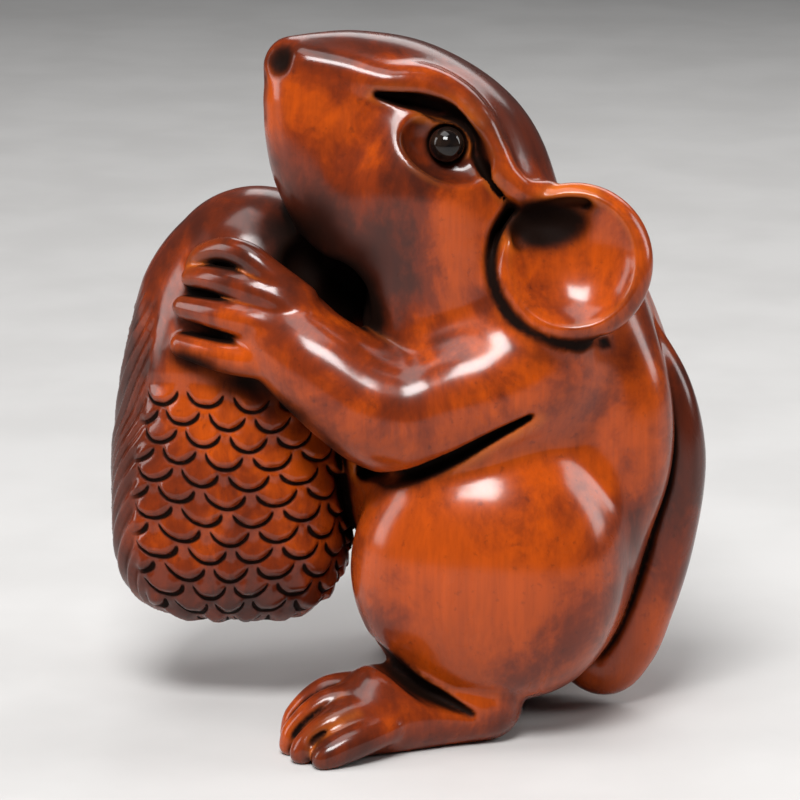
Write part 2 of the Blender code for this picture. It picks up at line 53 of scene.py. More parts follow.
SKIN_FACES = 190000

# The figure, in shares of a fiftieth of its height
REST = 0.3
CLAY_LOW = (-18.5, -23.0, -2.0)
CLAY_HIGH = (18.5, 24.0, 52.0)
HEAD_PIVOT = np.array([0.0, 9.0, 34.0])
HEAD_TURN = 21.0
HEAD_TILT = 3.0
HEAD_LOWEST = 24.0
FAR_FOOT_BACK = 4.6
SIDES = (1, -1)
EYE_SOCKET = 1.4
CORD_HOLE = 3.0
CORD_HOLE_SPACING = 7.0
FISH_BLEND = 0.4
HEAD_BLEND = 0.9
PASSAGE_BLEND = 0.2
EAR_RADIUS = 5.8

# The fish's scales, in shares
SCALE_RADIUS = 1.36
SCALE_ACROSS = 3.45
SCALE_DOWN = 1.42
SCALE_RISE = 0.42
SCALE_SHADOW = 0.33
SCALE_SHADOW_DEPTH = 0.9
HAND_CUT = 0.22
FISH_GIRTH = 8.6
FISH_SLIM = 1.13
FIN_HALF_WIDTH = 6.9
FIN_GOUGE = 1.1
SCALES_TOP = 26.6
SCALES_BEHIND = -5.0

# The photograph's camera, in shares and degrees
VIEW_AZIMUTH = 96.0
VIEW_ELEVATION = 13.5
VIEW_DISTANCE = 284.0
VIEW_WIDTH = 58.4
VIEW_HEIGHT = 22.9

# The studio in metres and watts: each light's name, place, size and power, and what they all face
FLOOR_SIZE = 3.0
WORLD_LIGHT = 0.06
LIT_PLACE = (0, 0, 0.025)
LIGHTS = (
    ("key", (0.235, -0.03, 0.32), (0.16, 0.11), 1.8),
    ("left", (0.05, -0.32, 0.14), (0.10, 0.22), 0.4),
    ("behind", (-0.06, 0.30, 0.16), (0.10, 0.20), 0.45),
    ("above", (0.06, -0.06, 0.40), (0.26, 0.20), 0.7),
    ("rim", (-0.26, 0.06, 0.24), (0.30, 0.12), 0.4),
)


def rotation(axis, degrees):
    """The matrix that turns about axis 0, 1 or 2."""
    angle = np.radians(degrees)
    first = (axis + 1) % 3
    second = (axis + 2) % 3
    matrix = np.eye(3)
    matrix[first, first] = matrix[second, second] = np.cos(angle)
    matrix[first, second] = -np.sin(angle)
    matrix[second, first] = np.sin(angle)
    return matrix


HEAD_SET = rotation(2, HEAD_TURN) @ rotation(1, -HEAD_TILT)


def smooth_path(rows, steps):
    """A rounded course through rows of any width, as a Catmull-Rom curve."""
    rows = np.asarray(rows, float)
    course = []
    padded = np.vstack([2 * rows[0] - rows[1], rows, 2 * rows[-1] - rows[-2]])
    for before, start, end, after in zip(padded, padded[1:], padded[2:], padded[3:]):
        for t in np.linspace(0, 1, steps, endpoint=False):
            bend = 2 * before - 5 * start + 4 * end - after
            twist = 3 * start - before - 3 * end + after
            course.append(start + 0.5 * ((end - before) * t + bend * t**2 + twist * t**3))
    return np.array(course + [rows[-1]])


def on_side(rows, side):
    """Rows drawn for the left flank, put on either flank."""
    rows = np.array(rows, float)
    rows[:, 0] *= side
    return rows


def lesser(first, second, soft):
    """The lesser of two depths, rounded where they meet."""
    if soft <= 0:
        return np.minimum(first, second)
    share = np.clip(0.5 + 0.5 * (second - first) / soft, 0, 1)
    return second + (first - second) * share - soft * share * (1 - share)


def ball(centre, radii, turn=None, power=2.0):
    """An ellipsoid, or with a higher power a squarer one: its corners and its depth function."""
    centre = np.asarray(centre, float)
    radii = np.asarray(radii, float)
    turn = np.eye(3) if turn is None else turn
    reach = np.sqrt(((turn * radii) ** 2).sum(1)) * (1.0 if power == 2.0 else 1.3)

    def depth(x, y, z):
        offset = (x - centre[0], y - centre[1], z - centre[2])
        own = [sum(turn[i, k] * offset[i] for i in range(3)) / radii[k] for k in range(3)]
        level = sum(np.abs(part) ** power for part in own) ** (1 / power)
        slope = sum((np.abs(part) ** (power - 1) / radii[k]) ** 2 for k, part in enumerate(own))
        slope = np.sqrt(slope) / np.maximum(level, 1e-6) ** (power - 1)
        return (level - 1) / np.maximum(slope, 1e-6)

    return centre - reach, centre + reach, depth


def limb(rows, steps=9, slim=1.0):
    """A round bar through rows of x, y, z and radius; slim narrows it from side to side."""
    rows = np.asarray(rows, float)
    course = smooth_path(rows, steps) if len(rows) > 2 and steps > 1 else rows
    low = (course[:, :3] - course[:, 3:]).min(0)
    high = (course[:, :3] + course[:, 3:]).max(0)

    def depth(x, y, z):
        nearest = np.full(np.broadcast(x, y, z).shape, FAR, np.float32)
        for start, end in zip(course[:-1], course[1:]):
            reach = max(start[3], end[3]) + 5.0
            near = []
            for axis, grid, scale in zip(range(3), (x, y, z), (slim, 1, 1)):
                line = grid.ravel() * scale
                first = np.searchsorted(line, min(start[axis], end[axis]) - reach)
                last = np.searchsorted(line, max(start[axis], end[axis]) + reach)
                near.append(slice(first, last))
            run = end - start
            length = max(float(run[:3] @ run[:3]), 1e-9)
            px = x[near[0]] * slim - start[0]
            py = y[:, near[1]] - start[1]
            pz = z[:, :, near[2]] - start[2]
            t = np.clip((px * run[0] + py * run[1] + pz * run[2]) / length, 0, 1)
            away = np.sqrt((px - t * run[0]) ** 2 + (py - t * run[1]) ** 2 + (pz - t * run[2]) ** 2)
            away = away - (start[3] + t * run[3])
            nearest[tuple(near)] = np.minimum(nearest[tuple(near)], away)
        return nearest

    return low, high, depth


def curved_wall(centre, own_axes, reach, radius, angles, lifts):
    """A thin wall that stands around an axis, from one angle and height to another."""
    centre = np.asarray(centre, float)
    own_axes = np.array(own_axes)
    far = np.hypot(reach + radius, max(np.abs(lifts)))

    def depth(x, y, z):
        offset = (x - centre[0], y - centre[1], z - centre[2])
        ahead, above, out = (sum(axis[i] * offset[i] for i in range(3)) for axis in own_axes)
        angle = np.degrees(np.arctan2(above, ahead))
        past = np.radians(np.maximum(np.maximum(angles[0] - angle, angle - angles[1]), 0)) * reach
        beyond = np.maximum(np.maximum(lifts[0] - out, out - lifts[1]), 0)
        return np.sqrt((np.hypot(ahead, above) - reach) ** 2 + past**2 + beyond**2) - radius

    return centre - far, centre + far, depth


class Clay:
    """A block of depths on a regular grid, negative inside the form."""

    def __init__(self, low, high, grain):
        self.grain = grain
        self.axes = [np.arange(a, b, grain, dtype=np.float32) for a, b in zip(low, high)]
        self.depth = np.full([len(axis) for axis in self.axes], FAR, np.float32)
        self.dye_and_painted_shade = np.zeros(self.depth.shape, np.float32)

    def window(self, low, high, margin):
        """The slices of the grid around a form, and their coordinates."""
        part = tuple(
            slice(max(0, np.searchsorted(axis, a - margin) - 1), np.searchsorted(axis, b + margin) + 1)
            for axis, a, b in zip(self.axes, low, high)
        )
        grid = np.meshgrid(*[axis[s] for axis, s in zip(self.axes, part)], indexing="ij", sparse=True)
        return part, grid

    def add(self, form, soft=0.0):
        low, high, depth = form
        part, grid = self.window(low, high, soft + FORM_MARGIN)
        away = depth(*grid)
        self.depth[part] = lesser(self.depth[part], away, soft)
        self.dye_and_painted_shade[part] *= np.clip(away / 0.5, 0, 1)

    def cut(self, form, soft=0.0, dye_and_painted_shade=0.0, spread=0.45):
        """Cuts a hollow, darkening it and a little way past its edge with settled staining and painted
        shade.
        """
        low, high, depth = form
        part, grid = self.window(low, high, soft + FORM_MARGIN)
        away = depth(*grid)
        self.depth[part] = -lesser(-self.depth[part], away, soft)
        if dye_and_painted_shade:
            settled = dye_and_painted_shade * np.exp(-(np.maximum(away, 0) / spread) ** 2)
            self.dye_and_painted_shade[part] = np.maximum(self.dye_and_painted_shade[part], settled)

    def groove(self, rows, side, deep, soft=0.3, dye_and_painted_shade=1.0, spread=0.2):
        """Cuts a groove of some depth straight into one flank, along rows on it."""
        for sink in np.arange(0.0, deep + 0.01, 0.4):
            course = np.array(rows, float)
            course[:, 0] -= side * sink
            course[:, 3] *= 1 - 0.25 * sink / max(deep, 0.4)
            self.cut(limb(course, 1), soft, dye_and_painted_shade, spread)

    def between(self, values, points):
        """Values of a grid between its points."""
        points = np.asarray(points, np.float32)
        cells = []
        shares = []
        for k, axis in enumerate(self.axes):
            place = (points[..., k] - axis[0]) / np.float32(self.grain)
            cell = np.clip(np.floor(place).astype(np.int32), 0, len(axis) - 2)
            cells.append(cell)
            shares.append(np.clip(place - cell, 0, 1))
        total = 0
        for corner in np.ndindex(2, 2, 2):
            weight = 1
            for share, end in zip(shares, corner):
                weight = weight * (share if end else 1 - share)
            total = total + weight * values[tuple(cell + end for cell, end in zip(cells, corner))]
        return total

    def depth_at(self, points):
        return self.between(self.depth, points)

    def laid(self, rows, side, steps=6):
        """Rows of y, z, lift and radius as a course that lies on one flank of the form."""
        course = []
        reach = np.arange(16.0, 0.0, -self.grain / 2)
        for y, z, lift, radius in smooth_path(rows, steps):
            line = np.column_stack([side * reach, np.full(len(reach), y), np.full(len(reach), z)])
            inside = self.depth_at(line) < 0
            x = reach[np.argmax(inside)] if inside.any() else 0.0
            course.append([side * (x + lift), y, z, radius])
        return np.array(course)

    def join(self, other, soft):
        """Adds another block's form."""
        self.depth = lesser(self.depth, other.depth, soft)
        self.dye_and_painted_shade = np.maximum(self.dye_and_painted_shade, other.dye_and_painted_shade)

    def join_turned(self, other, soft, turn, pivot, lowest):
        """Adds another block's form, turned about a pivot, level by level from the lowest."""
        first = int(np.searchsorted(self.axes[2], lowest))
        flat = np.stack(np.meshgrid(self.axes[0], self.axes[1], indexing="ij"), -1)
        for level in range(first, len(self.axes[2])):
            points = np.concatenate([flat, np.full(flat.shape[:2] + (1,), self.axes[2][level])], -1)
            own = (points - pivot) @ turn + pivot
            self.depth[:, :, level] = lesser(self.depth[:, :, level], other.depth_at(own), soft)
            self.dye_and_painted_shade[:, :, level] = np.maximum(self.dye_and_painted_shade[:, :, level], other.between(other.dye_and_painted_shade, own))

    def smooth_over(self):
        """Evens out the depths between neighbours, which takes away specks finer than the grain."""
        for axis in range(3):
            beside = np.roll(self.depth, 1, axis) + np.roll(self.depth, -1, axis)
            self.depth = (beside + 2 * self.depth) / 4

    def slope_at(self, points, reach):
        """Which way the depths grow, and how fast."""
        return np.column_stack([
            (self.depth_at(points + side) - self.depth_at(points - side)) / (2 * reach)
            for side in np.eye(3) * reach
        ])

    def skin(self):
        """Points and four-sided faces over the form, one point in each cell that it crosses."""
        inside = self.depth < 0
        cells = np.array(self.depth.shape) - 1
        corners = list(np.ndindex(2, 2, 2))
        filled = sum(inside[tuple(slice(c, c + n) for c, n in zip(corner, cells))].astype(np.int8)
                     for corner in corners)
        where = np.argwhere((filled > 0) & (filled < 8))
        number = np.full(cells, -1)
        number[tuple(where.T)] = np.arange(len(where))
        total = np.zeros((len(where), 3))
        crossings = np.zeros((len(where), 1))
        for axis in range(3):
            for corner in corners:
                if corner[axis]:
                    continue
                start = where + corner
                end = start + np.eye(3, dtype=int)[axis]
                here = self.depth[tuple(start.T)]
                there = self.depth[tuple(end.T)]
                crossed = (here < 0) != (there < 0)
                share = np.where(crossed, here / np.where(crossed, here - there, 1), 0)
                total += (start + np.eye(3)[axis] * share[:, None]) * crossed[:, None]
                crossings += crossed[:, None]
        points = total / crossings * self.grain + [axis[0] for axis in self.axes]
        return self.settled(points), self.faces_between(inside, number)

    def settled(self, points):
        """Points moved along the form's slope onto its surface."""
        reach = self.grain / 2
        for _ in range(2):
            slope = self.slope_at(points, reach)
            steep = np.maximum((slope**2).sum(1), 0.1)
            move = -slope * (self.depth_at(points) / steep)[:, None]
            length = np.linalg.norm(move, axis=1) / reach
            points = points + move / np.maximum(length, 1)[:, None]
        return points

    @staticmethod
    def faces_between(inside, number):
        """A face across each grid line that passes from inside the form to outside."""
        faces = []
        for axis in range(3):
            first = (axis + 1) % 3
            second = (axis + 2) % 3
            near = [slice(1, size - 1) for size in inside.shape]
            near[axis] = slice(0, inside.shape[axis] - 1)
            far = list(near)
            far[axis] = slice(1, inside.shape[axis])
            here = inside[tuple(near)]
            line = np.argwhere(here != inside[tuple(far)])
            outward = here[tuple(line.T)]
            line[:, [first, second]] += 1
            ring = []
            for step in ((-1, -1), (0, -1), (0, 0), (-1, 0)):
                cell = line.copy()
                cell[:, first] += step[0]
                cell[:, second] += step[1]
                ring.append(number[tuple(cell.T)])
            face = np.column_stack(ring)
            face[~outward] = face[~outward][:, ::-1]
            faces.append(face)
        return np.vstack(faces)


def new_clay():
    return Clay(CLAY_LOW, CLAY_HIGH, GRAIN)


def shape_body(clay):
    """Rump, back, shoulders and belly, with a thigh on each flank."""
    clay.add(ball((0, 7.2, 15.3), (10.8, 9.9, 15.0)))
    clay.add(ball((0, 9.0, 27.5), (9.4, 9.2, 10.0)), 3.0)
    clay.add(limb([[0, 11.0, 9.0, 5.6], [0, 11.8, 18.0, 6.2], [0, 11.2, 28.0, 6.3]]), 2.0)
    clay.add(ball((0, 2.0, 20.0), (8.0, 6.5, 9.0)), 2.5)
    beside_tail = [[3.0, 14.2, 29.8, 3.4], [3.4, 16.0, 25.0, 3.8], [3.4, 16.1, 20.0, 4.0],
                   [3.4, 14.6, 15.0, 3.9], [3.2, 12.6, 10.0, 3.5]]
    for side in SIDES:
        clay.add(limb(on_side(beside_tail, side)), 2.0)
        clay.add(ball((side * 6.2, 10.0, 12.2), (7.0, 6.9, 9.2)), 2.5)
        clay.add(ball((side * 8.0, 6.9, 12.6), (6.2, 9.6, 9.6)), 1.3)


def shape_tail(clay):
    """The tail comes from under the rump and lies up the back, tapering to the shoulders."""
    tail = np.array([
        [0, 11.5, 6.0, 2.1], [0, 14.9, 3.3, 2.3], [0, 16.7, 4.8, 2.35], [0, 17.9, 7.8, 2.35],
        [0, 19.2, 12.0, 2.3], [0, 20.1, 17.0, 2.25], [0, 20.2, 20.5, 2.1], [-0.1, 19.4, 24.2, 1.9],
        [-0.5, 17.8, 27.3, 1.7], [-1.4, 15.9, 30.3, 1.4], [-2.8, 13.6, 32.8, 1.0],
    ])
    for side in SIDES:
        valley = tail[2:].copy()
        valley[:, 0] += side * (valley[:, 3] + 0.1)
        valley[:, 1] -= 0.5
        valley[:, 3] *= np.linspace(0.25, 0.12, len(valley))
        # The valleys beside the tail are darkened with settled staining and painted shade.
        clay.cut(limb(valley), 0.5, 0.9, 0.25)
    clay.add(limb(tail), 0.25)


def shape_foot(clay, side):
    """A long foot set down flat, with four toes; the far one stands further back."""
    back = np.array([0, 0 if side > 0 else FAR_FOOT_BACK, 0, 0])
    sole = np.array([[8.8, 7.0, 2.9, 2.8], [10.2, 4.0, 2.4, 2.4],
                     [11.8, 0.6, 2.4, 2.6], [13.0, -2.2, 2.2, 2.6]])
    instep = np.array([[9.4, 3.0, 4.2, 2.4], [11.4, -0.6, 3.6, 2.6]])
    ankle = np.array([[9.2, -2.4, 7.2, 0.5], [10.6, -1.0, 6.9, 0.55], [12.0, 1.2, 5.6, 0.5],
                      [12.8, 3.8, 4.1, 0.4], [13.2, 6.4, 2.9, 0.2]])
    toes = np.array([
        [[10.4, -1.2, 4.2, 1.3], [11.2, -4.0, 3.9, 1.3], [11.8, -5.9, 2.4, 1.15], [12.0, -6.5, 1.2, 0.9]],
        [[12.0, -0.9, 4.0, 1.3], [13.1, -3.8, 3.5, 1.3], [13.9, -5.7, 2.0, 1.15], [14.1, -6.3, 1.0, 0.9]],
        [[13.4, -0.5, 3.3, 1.3], [14.8, -3.0, 2.7, 1.3], [15.6, -4.7, 1.6, 1.15], [15.9, -5.3, 1.0, 0.9]],
        [[13.9, 0.6, 2.4, 1.2], [15.6, -1.4, 1.9, 1.25], [16.6, -3.0, 1.3, 1.1], [17.0, -3.6, 1.0, 0.9]],
    ])
    clay.add(limb(on_side(sole + back, side)), 0.6)
    clay.add(limb(on_side(instep + back, side)), 0.8)
    # The ankle crease and the gaps between the toes are darkened with staining and painted shade.
    clay.groove(smooth_path(on_side(ankle + back, side), 6), side, 1.6, 0.5)
    for toe in toes:
        clay.add(limb(on_side(toe + back, side)), 0.3)
    for toe, neighbour in zip(toes[:-1], toes[1:]):
        gap = (toe + neighbour) / 2 + back
        gap[0] = (gap[0] + 2 * gap[1]) / 3
        gap[:, 2] += 1.0
        gap[:, 3] = [0.05, 0.1, 0.2, 0.25]
        clay.cut(limb(on_side(gap, side)), 0.4, 0.7, 0.12)


def scale_relief(across, down):
    """How far the wood rises at a place on the fish's skin, under its overlapping scales."""
    rise = np.zeros(np.broadcast(across, down).shape)
    shadow = np.zeros(rise.shape)
    found = np.zeros(rise.shape, bool)
    first = np.ceil((down - SCALE_RADIUS) / SCALE_DOWN)
    for row in (first + step for step in range(-2, 4)):
        offset = across - np.mod(row, 2) * SCALE_ACROSS / 2 + SCALE_ACROSS / 2
        from_middle = np.abs(np.mod(offset, SCALE_ACROSS) - SCALE_ACROSS / 2)
        below = down - row * SCALE_DOWN
        edge = np.where(below > 0, np.hypot(from_middle, below), from_middle) - SCALE_RADIUS
        real = (row >= 1) & ~found
        covers = real & (edge < 0)
        lift = np.clip(below / SCALE_RADIUS + 0.15, 0, 1)
        rise = np.where(covers, lift, rise)
        width = SCALE_SHADOW * np.clip((below / SCALE_RADIUS - 0.2) / 0.6, 0, 1) ** 0.7
        line = np.clip(1.5 - 1.5 * edge / np.maximum(width, 0.01), 0, 1) * (width > 0.02)
        shadow = np.maximum(shadow, np.where(real & ~covers, line, 0))
        found |= covers
    return rise - 0.5 - SCALE_SHADOW_DEPTH * shadow


def shape_fish(clay):
    """A stout fish held head up: a smooth crown, scaled flanks and a rayed fin down its front."""
    clay.add(limb([[0, -12.5, 15.0, 8.3], [0, -12.2, 18.0, 9.1], [0, -11.8, 23.5, 9.0],
                   [0, -11.2, 28.5, 8.3], [0, -10.4, 31.4, 7.1]], slim=FISH_SLIM))
    clay.add(ball((0, -12.4, 15.6), (7.5, 8.9, 9.2), power=3.2), 0.6)
    part, (x, y, z) = clay.window((-9, -22.5, 4), (9, -1, 34), 0)
    across, down, scaled, gouged = fish_skin(x, y, z)
    relief = scaled * scale_relief(across, down) - FIN_GOUGE * gouged
    near = np.exp(-(clay.depth[part] / 1.2) ** 2)
    clay.depth[part] -= SCALE_RISE * relief * near


def fish_skin(x, y, z):
    """Places around and down the fish's skin, and how much of each is scales or a gouge of the fin."""
    across = np.arctan2(x * FISH_SLIM, -(y + 12.0)) * FISH_GIRTH
    down = SCALES_TOP - z
    flank = np.clip((np.abs(across) - FIN_HALF_WIDTH + 0.2) / 0.8, 0, 1)
    uneven_across = across + HAND_CUT * np.sin(0.5 * down + 0.3 * across)
    uneven_down = down + HAND_CUT * np.sin(0.55 * across + 0.2 * down + 1.0)
    scaled = flank * np.clip((uneven_down - 0.6) / 1.2, 0, 1)
    ray = 0.8 * np.abs(uneven_across) + 0.5 * uneven_down + 0.3 * np.sin(0.9 * across + 0.35 * down)
    gouged = (1 - flank) * np.clip((uneven_down + 5) / 3, 0, 1) * np.cos(np.pi * ray) ** 2
    return uneven_across, uneven_down, scaled, gouged


def shape_head(clay):
    """The head as it looks straight ahead: a raised muzzle, cheeks, brows and eye sockets."""
    clay.add(limb([[0, -7.9, 48.2, 2.1], [0, -5.6, 46.9, 3.6], [0, -3.2, 45.8, 4.7],
                   [0, 0, 43.7, 6.1], [0, 2.8, 40.3, 7.4], [0, 3.6, 36.3, 8.2]]))
    clay.add(limb([[0, -7.0, 45.4, 3.0], [0, -6.0, 43.4, 3.9], [0, -4.9, 40.8, 4.4],
                   [0, -1.8, 37.6, 5.6], [0, 2.0, 34.4, 6.8]]), 1.2)
    for side in SIDES:
        clay.add(ball((side * 3.3, 0.6, 39.8), (4.9, 5.6, 5.6)), 2.0)
    brow = [[-7.6, 48.7, -0.8, 0.9], [-4.7, 48.0, -0.8, 1.1], [-2.3, 47.2, -0.5, 1.3],
            [0.3, 47.0, -0.4, 1.4], [2.5, 45.9, -0.3, 1.4], [3.9, 44.2, -0.2, 1.3],
            [4.6, 42.4, -0.1, 1.25], [5.4, 40.7, 0.3, 1.1], [6.8, 39.5, 1.0, 1.0],
            [8.4, 39.3, 2.0, 0.9]]
    under_brow = [[-3.1, 46.5, 0.2, 0.2], [-1.2, 46.1, -0.1, 0.5], [0.6, 45.6, -0.2, 0.65],
                  [2.0, 44.9, -0.2, 0.65], [3.1, 43.6, -0.2, 0.5], [3.7, 41.9, -0.2, 0.4],
                  [4.5, 40.3, -0.1, 0.33], [5.6, 39.1, 0.0, 0.3]]
    # The trench under the brow, the eye sockets, the nostrils and the mouth below are darkened with
    # staining and painted shade.
    for side in SIDES:
        ridge = clay.laid(brow, side)
        trench = clay.laid(under_brow, side)
        clay.add(limb(ridge, 1), 0.9)
        clay.groove(trench, side, 0.8)
        eye = eye_place(side)
        socket = rotation(2, -side * 22) @ rotation(0, -24)
        clay.cut(ball(eye + socket @ (side * 1.3, 0.3, 0), (1.9, 3.5, 2.3), socket), 0.35, 0.35, 0.2)
        clay.add(ball(eye - socket @ (side * 1.0, 0, 0), (1.6, 1.8, 1.7), socket), 0.25)
        clay.cut(ball((side * 1.5, -9.4, 48.9), (0.5, 0.7, 0.75)), 1.0, 1.0, 0.7)
    clay.cut(limb([[0, -10.3, 47.4, 0.35], [0, -10.45, 46.0, 0.3], [0, -10.4, 44.6, 0.3]]), 0.4, 0.7)
    for side in SIDES:
        shape_ear(clay, side)


def eye_place(side):
    """The middle of an eye, with the head looking straight ahead."""
    return np.array([side * 6.4, 1.55, 42.95])


def shape_ear(clay, side):
    """A round dish with a rolled rim, which the brow runs into, and a way in under its top with painted
    shade.
    """
    centre = np.array([side * 10.3, 9.6, 34.8])
    facing = np.array([side * 0.92, -0.34, 0.2])
    facing /= np.linalg.norm(facing)
    up = np.array([0, 0, 1.0]) - facing * facing[2]
    up /= np.linalg.norm(up)
    fore = side * np.cross(facing, up)
    turn = np.column_stack([up, np.cross(facing, up), facing])

    def around(angles, reach, lift, radius):
        """Rows around the ear, from its front at 0 degrees to its top at 90."""
        rows = []
        for angle in np.radians(angles):
            place = centre + reach * (np.cos(angle) * fore + np.sin(angle) * up) + lift * facing
            rows.append([*place, radius])
        return rows

    # The groove around the ear, the slot at its rim, the way in and the band under the top rim are
    # darkened with painted shade, where the ear stands off the head and where its rim overhangs.
    clay.cut(limb(around(range(-120, 21, 20), EAR_RADIUS, -0.9, 0.55)), 0.5, 1.0, 0.3)
    clay.add(ball(centre - 2.6 * facing + 1.8 * fore + 1.2 * up, (3.9, 4.4, 2.8), turn), 2.0)
    clay.add(ball(centre - 0.5 * facing, (5.6, 5.5, 2.3), turn), 0.12)
    slot = curved_wall(centre, (fore, up, facing), EAR_RADIUS + 0.05, 0.22, (-110, 40), (-3.4, 2.4))
    clay.cut(slot, 0.6, 1.0, 0.35)
    clay.cut(ball(centre + 2.1 * facing + 0.1 * fore, (5.05, 4.95, 3.2), turn), 0.3)
    clay.cut(ball(centre + 0.2 * facing + 1.9 * fore + 2.6 * up, (1.2, 2.4, 1.6), turn), 1.0, 1.0, 0.9)
    clay.cut(limb(around(range(20, 101, 20), 4.2, -0.2, 0.4)), 0.7, 0.8, 0.6)


def shape_arm(clay, side):
    """An arm folded at the elbow, its hand spread over the fish in four fingers."""
    upper = [[6.4, 10.0, 27.4, 5.2], [8.2, 6.2, 25.6, 5.0], [9.2, 2.4, 24.3, 4.3], [9.5, 0.2, 24.3, 4.0]]
    fore = [[9.4, 0.8, 24.2, 4.1], [9.6, -1.6, 25.2, 4.1], [9.1, -4.6, 27.3, 3.8],
            [8.2, -6.7, 28.7, 3.5], [7.6, -8.3, 29.5, 2.9]]
    crease = [[-2.0, 19.0, 0.0, 0.5], [0.2, 19.8, 0.0, 0.55], [2.6, 20.6, 0.0, 0.5],
              [5.2, 21.9, 0.0, 0.4], [7.8, 23.4, 0.05, 0.28], [10.4, 24.7, 0.1, 0.12]]
    fingers = [
        [[8.4, -6.1, 32.0, 1.2], [8.6, -8.3, 33.8, 1.1], [8.2, -9.9, 35.0, 1.0],
         [7.2, -11.7, 35.3, 0.9], [6.1, -13.4, 34.7, 0.8], [5.4, -14.2, 33.8, 0.7]],
        [[9.0, -6.0, 31.0, 1.3], [9.0, -8.0, 32.2, 1.25], [8.6, -10.3, 32.9, 1.1],
         [7.6, -12.4, 33.2, 0.95], [6.2, -14.3, 33.0, 0.8]],
        [[9.4, -6.3, 29.6, 1.4], [9.3, -8.8, 30.4, 1.35],
         [8.7, -11.5, 30.8, 1.15], [6.9, -14.8, 31.0, 0.85]],
        [[9.4, -6.0, 27.9, 1.4], [9.4, -8.4, 27.8, 1.35],
         [8.9, -11.5, 27.9, 1.2], [7.3, -14.9, 28.3, 0.9]],
    ]
    clay.add(ball((side * 6.0, 2.0, 29.3), (3.4, 3.2, 3.2)), 2.5)
    clay.add(limb(on_side([[5.0, 3.0, 31.2, 3.2], [5.6, 7.5, 31.6, 3.6]], side)), 3.0)
    clay.add(limb(on_side(upper, side)), 2.0)
    clay.add(limb(on_side(fore, side)), 1.2)
    # The crease between arm and thigh is darkened with painted shade under the arm.
    clay.groove(clay.laid(crease, side), side, 1.6, 0.45)
    clay.add(ball((side * 7.6, -7.6, 29.9), (2.3, 3.6, 3.2), rotation(0, -20)), 0.8)
    for finger in fingers:
        clay.add(limb(on_side(finger, side)), 0.3)


def shape_throat(clay):
    """The hollow on each flank between chin, chest, forearm and fish, darkened with painted shadow."""
    clay.add(ball((0, -4.0, 31.5), (2.6, 3.5, 5.0)), 0.5)
    for side in SIDES:
        gap = [[5.0, -6.0, 34.0, 1.8], [6.0, -3.8, 32.6, 2.1],
               [6.8, -1.8, 31.0, 1.6], [7.4, -0.2, 29.4, 0.7]]
        clay.cut(limb(on_side(gap, side)), 0.6, 1.0, 1.6)
        clay.cut(ball((side * 5.9, -3.4, 31.8), (3.9, 2.0, 3.0)), 0.8, 1.0, 1.8)


def shape_openings(clay):
    """The flat soles, the holes for the cord under the rump and the seats of the eyes."""
    reach = CORD_HOLE_SPACING / 2
    bore = CORD_HOLE / 2
    rows = [[-reach, 6.5, -1.0, bore], [-reach, 6.5, 1.6, bore], [0, 6.5, 4.6, bore],
            [reach, 6.5, 1.6, bore], [reach, 6.5, -1.0, bore]]
    clay.cut(limb(rows), PASSAGE_BLEND)
    for side in SIDES:
        centre = HEAD_PIVOT + HEAD_SET @ (eye_place(side) - HEAD_PIVOT)
        # Each eye's seat is darkened around the bead with painted shade.
        clay.cut(ball(centre, (EYE_SOCKET, EYE_SOCKET, EYE_SOCKET)), 0.0, 1.0, 0.2)
    clay.depth = np.maximum(clay.depth, REST - clay.axes[2])


def carved():
    """The whole carving as clay, in shares."""
    clay = new_clay()
    shape_body(clay)
    shape_tail(clay)
    for side in SIDES:
        shape_foot(clay, side)
    fish = new_clay()
    shape_fish(fish)
    clay.join(fish, FISH_BLEND)
    head = new_clay()
    shape_head(head)
    clay.join_turned(head, HEAD_BLEND, HEAD_SET, HEAD_PIVOT, HEAD_LOWEST)
    shape_throat(clay)
    for side in SIDES:
        shape_arm(clay, side)
    shape_openings(clay)
    return clay, fish


def points_of(mesh):
    places = np.empty(len(mesh.vertices) * 3)
    mesh.vertices.foreach_get("co", places)
    return places.reshape(-1, 3)


def fewer_faces(mesh, faces):
    """The same skin with fewer faces, more of them kept on the scales."""
    source = bpy.data.objects.new("fine_skin", mesh)
    bpy.context.scene.collection.objects.link(source)
    smooth = source.vertex_groups.new(name="smooth")
    places = points_of(mesh)
    scaled = (places[:, 1] < SCALES_BEHIND) & (places[:, 2] < SCALES_TOP)
    smooth.add(np.flatnonzero(scaled).tolist(), 0.5, "REPLACE")
    smooth.add(np.flatnonzero(~scaled).tolist(), 1.0, "REPLACE")
    fewer = source.modifiers.new("Fewer faces", "DECIMATE")
    fewer.ratio = min(1.0, faces / (2 * len(mesh.polygons)))
    fewer.vertex_group = smooth.name
    fewer.vertex_group_factor = 2.0
    depsgraph = bpy.context.evaluated_depsgraph_get()
    result = bpy.data.meshes.new_from_object(source.evaluated_get(depsgraph))
    bpy.data.objects.remove(source)
    return result


def soft_step(value, low, high):
    share = np.clip((value - low) / (high - low), 0, 1)
    return share * share * (3 - 2 * share)


